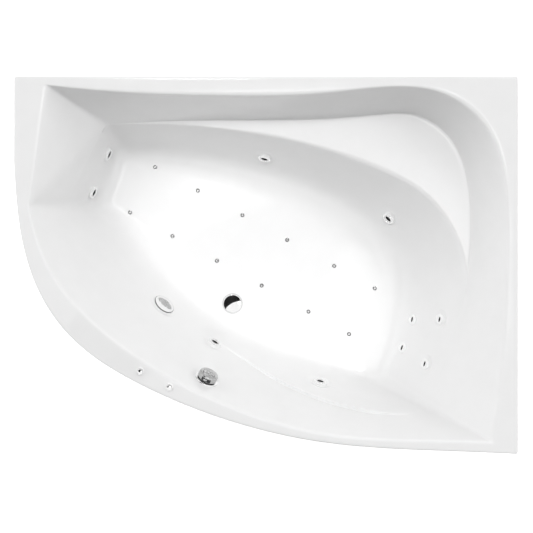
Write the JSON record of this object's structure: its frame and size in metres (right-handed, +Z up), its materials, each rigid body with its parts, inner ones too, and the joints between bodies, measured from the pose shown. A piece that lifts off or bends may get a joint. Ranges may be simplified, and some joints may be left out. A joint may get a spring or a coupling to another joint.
{
  "type": "jetted bathtub",
  "caption": "Asymmetric corner bathtub in white acrylic with water jets, floor air jets, pop-up drain, overflow knob and push buttons, on a steel frame with pump and blower.",
  "frame": {"origin": "centre of the outer box at floor level", "axes": "+X to the right along the long back edge, +Y to the wall behind the tub, +Z up"},
  "size_m": [1.6, 1.1992, 0.608],
  "materials": {
    "white_acrylic": "high gloss",
    "white_plastic": "gloss",
    "grey_plastic": "satin",
    "chrome": "mirror",
    "pipe_plastic": "satin",
    "dark_plastic": "matte",
    "tube_plastic": "satin",
    "motor_alloy": "cast",
    "steel": "zinc plated",
    "frame_paint": "grey powder coat",
    "rubber": "matte",
    "board": "raw chipboard"
  },
  "bodies": {
    "tub": {"tub_shell": "white_acrylic", "side_jet_bodies": "white_plastic", "back_jet_bodies": "white_plastic", "back_jet_faces": "grey_plastic", "fitting_nuts": "pipe_plastic", "air_jet_bodies": "pipe_plastic", "air_jet_caps": "chrome", "air_rails": "tube_plastic", "air_blower": "dark_plastic", "drain_flange": "chrome", "drain_body": "pipe_plastic", "waste_trap": "pipe_plastic", "overflow_flange": "chrome", "overflow_body": "pipe_plastic", "overflow_pipe": "pipe_plastic", "lift_cable": "dark_plastic", "suction_body": "white_plastic", "suction_grille": "grey_plastic", "suction_pipe": "pipe_plastic", "pump_volute": "dark_plastic", "pump_motor": "motor_alloy", "pump_fan_cover": "dark_plastic", "pump_terminal_box": "dark_plastic", "pump_feet": "rubber", "water_manifold": "pipe_plastic", "base_board": "board", "frame_bars": "frame_paint", "frame_posts": "frame_paint", "rim_pads": "rubber", "board_screws": "steel", "foot_nuts": "steel", "unit_trays": "frame_paint", "button_bezels": "chrome", "button_bodies": "pipe_plastic", "button_tubes": "tube_plastic", "cable_glands": "dark_plastic"},
    "jet_ring_1": {"jet_ring_1": "white_plastic"},
    "jet_nozzle_1": {"jet_nozzle_1": "grey_plastic"},
    "jet_ring_2": {"jet_ring_2": "white_plastic"},
    "jet_nozzle_2": {"jet_nozzle_2": "grey_plastic"},
    "jet_ring_3": {"jet_ring_3": "white_plastic"},
    "jet_nozzle_3": {"jet_nozzle_3": "grey_plastic"},
    "jet_ring_4": {"jet_ring_4": "white_plastic"},
    "jet_nozzle_4": {"jet_nozzle_4": "grey_plastic"},
    "jet_ring_5": {"jet_ring_5": "white_plastic"},
    "jet_nozzle_5": {"jet_nozzle_5": "grey_plastic"},
    "jet_ring_6": {"jet_ring_6": "white_plastic"},
    "jet_nozzle_6": {"jet_nozzle_6": "grey_plastic"},
    "overflow_knob": {"overflow_knob": "chrome"},
    "drain_plug": {"drain_plug": "chrome"},
    "water_button": {"water_button": "chrome"},
    "air_button": {"air_button": "chrome"},
    "pump_rotor": {"pump_rotor": "steel"},
    "levelling_foot_1": {"levelling_foot_1": "steel"},
    "levelling_foot_2": {"levelling_foot_2": "steel"},
    "levelling_foot_3": {"levelling_foot_3": "steel"},
    "levelling_foot_4": {"levelling_foot_4": "steel"},
    "levelling_foot_5": {"levelling_foot_5": "steel"},
    "levelling_foot_6": {"levelling_foot_6": "steel"}
  },
  "joints": [
    {"name": "jet_ring_1_turn", "type": "hinge", "parent": "tub", "child": "jet_ring_1", "pos_m": [-0.5448, 0.3828, 0.25696], "axis": [0.891, -0.3876, 0.2364], "range_deg": [0, 90]},
    {"name": "jet_nozzle_1_tilt", "type": "hinge", "parent": "jet_ring_1", "child": "jet_nozzle_1", "pos_m": [-0.5448, 0.3828, 0.25696], "axis": [0.3989, 0.917, 0], "range_deg": [-12, 12]},
    {"name": "jet_ring_2_turn", "type": "hinge", "parent": "tub", "child": "jet_ring_2", "pos_m": [-0.5984, 0.252, 0.2474], "axis": [0.8766, -0.376, 0.3005], "range_deg": [0, 90]},
    {"name": "jet_nozzle_2_tilt", "type": "hinge", "parent": "jet_ring_2", "child": "jet_nozzle_2", "pos_m": [-0.5984, 0.252, 0.2474], "axis": [0.3942, 0.919, 0], "range_deg": [-12, 12]},
    {"name": "jet_ring_3_turn", "type": "hinge", "parent": "tub", "child": "jet_ring_3", "pos_m": [-0.0048, 0.3708, 0.25104], "axis": [-0.2089, -0.886, 0.4139], "range_deg": [0, 90]},
    {"name": "jet_nozzle_3_tilt", "type": "hinge", "parent": "jet_ring_3", "child": "jet_nozzle_3", "pos_m": [-0.0048, 0.3708, 0.25104], "axis": [0.9733, -0.2295, 0], "range_deg": [-12, 12]},
    {"name": "jet_ring_4_turn", "type": "hinge", "parent": "tub", "child": "jet_ring_4", "pos_m": [0.4256, 0.1638, 0.22945], "axis": [-0.5593, -0.5504, 0.6198], "range_deg": [0, 90]},
    {"name": "jet_nozzle_4_tilt", "type": "hinge", "parent": "jet_ring_4", "child": "jet_nozzle_4", "pos_m": [0.4256, 0.1638, 0.22945], "axis": [0.7014, -0.7127, 0], "range_deg": [-12, 12]},
    {"name": "jet_ring_5_turn", "type": "hinge", "parent": "tub", "child": "jet_ring_5", "pos_m": [-0.1776, -0.267, 0.28437], "axis": [0.4448, 0.776, 0.4472], "range_deg": [0, 90]},
    {"name": "jet_nozzle_5_tilt", "type": "hinge", "parent": "jet_ring_5", "child": "jet_nozzle_5", "pos_m": [-0.1776, -0.267, 0.28437], "axis": [-0.8676, 0.4973, 0], "range_deg": [-12, 12]},
    {"name": "jet_ring_6_turn", "type": "hinge", "parent": "tub", "child": "jet_ring_6", "pos_m": [0.184, -0.402, 0.27782], "axis": [0.2146, 0.8935, 0.3945], "range_deg": [0, 90]},
    {"name": "jet_nozzle_6_tilt", "type": "hinge", "parent": "jet_ring_6", "child": "jet_nozzle_6", "pos_m": [0.184, -0.402, 0.27782], "axis": [-0.9723, 0.2336, 0], "range_deg": [-12, 12]},
    {"name": "overflow_knob_turn", "type": "hinge", "parent": "tub", "child": "overflow_knob", "pos_m": [-0.1936, -0.3702, 0.51275], "axis": [0.4056, 0.82, 0.4038], "range_deg": [0, 75]},
    {"name": "drain_plug_lift", "type": "slide", "parent": "tub", "child": "drain_plug", "axis": [0, 0, 1], "range_m": [0, 0.012]},
    {"name": "water_button_press", "type": "slide", "parent": "tub", "child": "water_button", "axis": [0, 0, -1], "range_m": [0, 0.004], "stiffness_N_per_m": 600, "springref_m": -0.004},
    {"name": "air_button_press", "type": "slide", "parent": "tub", "child": "air_button", "axis": [0, 0, -1], "range_m": [0, 0.004], "stiffness_N_per_m": 600, "springref_m": -0.004},
    {"name": "pump_rotor_spin", "type": "hinge", "parent": "tub", "child": "pump_rotor", "pos_m": [-0.53, -0.13998, 0.221], "axis": [0.6462, -0.7632, 0], "continuous": true},
    {"name": "levelling_foot_1_height", "type": "slide", "parent": "tub", "child": "levelling_foot_1", "axis": [0, 0, -1], "range_m": [-0.015, 0.03]},
    {"name": "levelling_foot_2_height", "type": "slide", "parent": "tub", "child": "levelling_foot_2", "axis": [0, 0, -1], "range_m": [-0.015, 0.03]},
    {"name": "levelling_foot_3_height", "type": "slide", "parent": "tub", "child": "levelling_foot_3", "axis": [0, 0, -1], "range_m": [-0.015, 0.03]},
    {"name": "levelling_foot_4_height", "type": "slide", "parent": "tub", "child": "levelling_foot_4", "axis": [0, 0, -1], "range_m": [-0.015, 0.03]},
    {"name": "levelling_foot_5_height", "type": "slide", "parent": "tub", "child": "levelling_foot_5", "axis": [0, 0, -1], "range_m": [-0.015, 0.03]},
    {"name": "levelling_foot_6_height", "type": "slide", "parent": "tub", "child": "levelling_foot_6", "axis": [0, 0, -1], "range_m": [-0.015, 0.03]}
  ],
  "couplings": [
    {"joint": "drain_plug_lift", "follows": "overflow_knob_turn", "m_per_rad": 0.009167}
  ]
}
